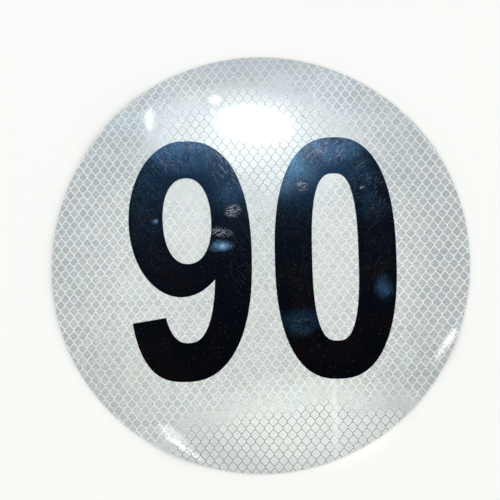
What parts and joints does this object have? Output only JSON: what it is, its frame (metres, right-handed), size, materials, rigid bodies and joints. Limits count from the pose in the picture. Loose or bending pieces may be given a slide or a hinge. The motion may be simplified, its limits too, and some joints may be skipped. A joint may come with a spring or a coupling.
{
  "type": "speed limit disc sticker",
  "caption": "Round self-adhesive speed limit disc of diamond-celled reflective sheeting with large black numerals, for the rear of a goods vehicle or bus.",
  "frame": {"origin": "middle of the back of the release liner, the face that the disc lies on", "axes": "+Z out of the printed face, +Y towards the tops of the numerals, +X to their right"},
  "size_m": [0.2, 0.2, 0.0008],
  "materials": {
    "liner_paper": "smooth siliconed kraft, pale cream",
    "prismatic_sheeting": "silver-white microprismatic cells in sealed diamonds under a smooth clear face",
    "black_film": "glossy opaque black with fine scratches"
  },
  "bodies": {
    "root": {"release_liner": "liner_paper", "reflective_sheeting": "prismatic_sheeting", "digit_nine": "black_film", "digit_zero": "black_film"}
  },
  "joints": []
}
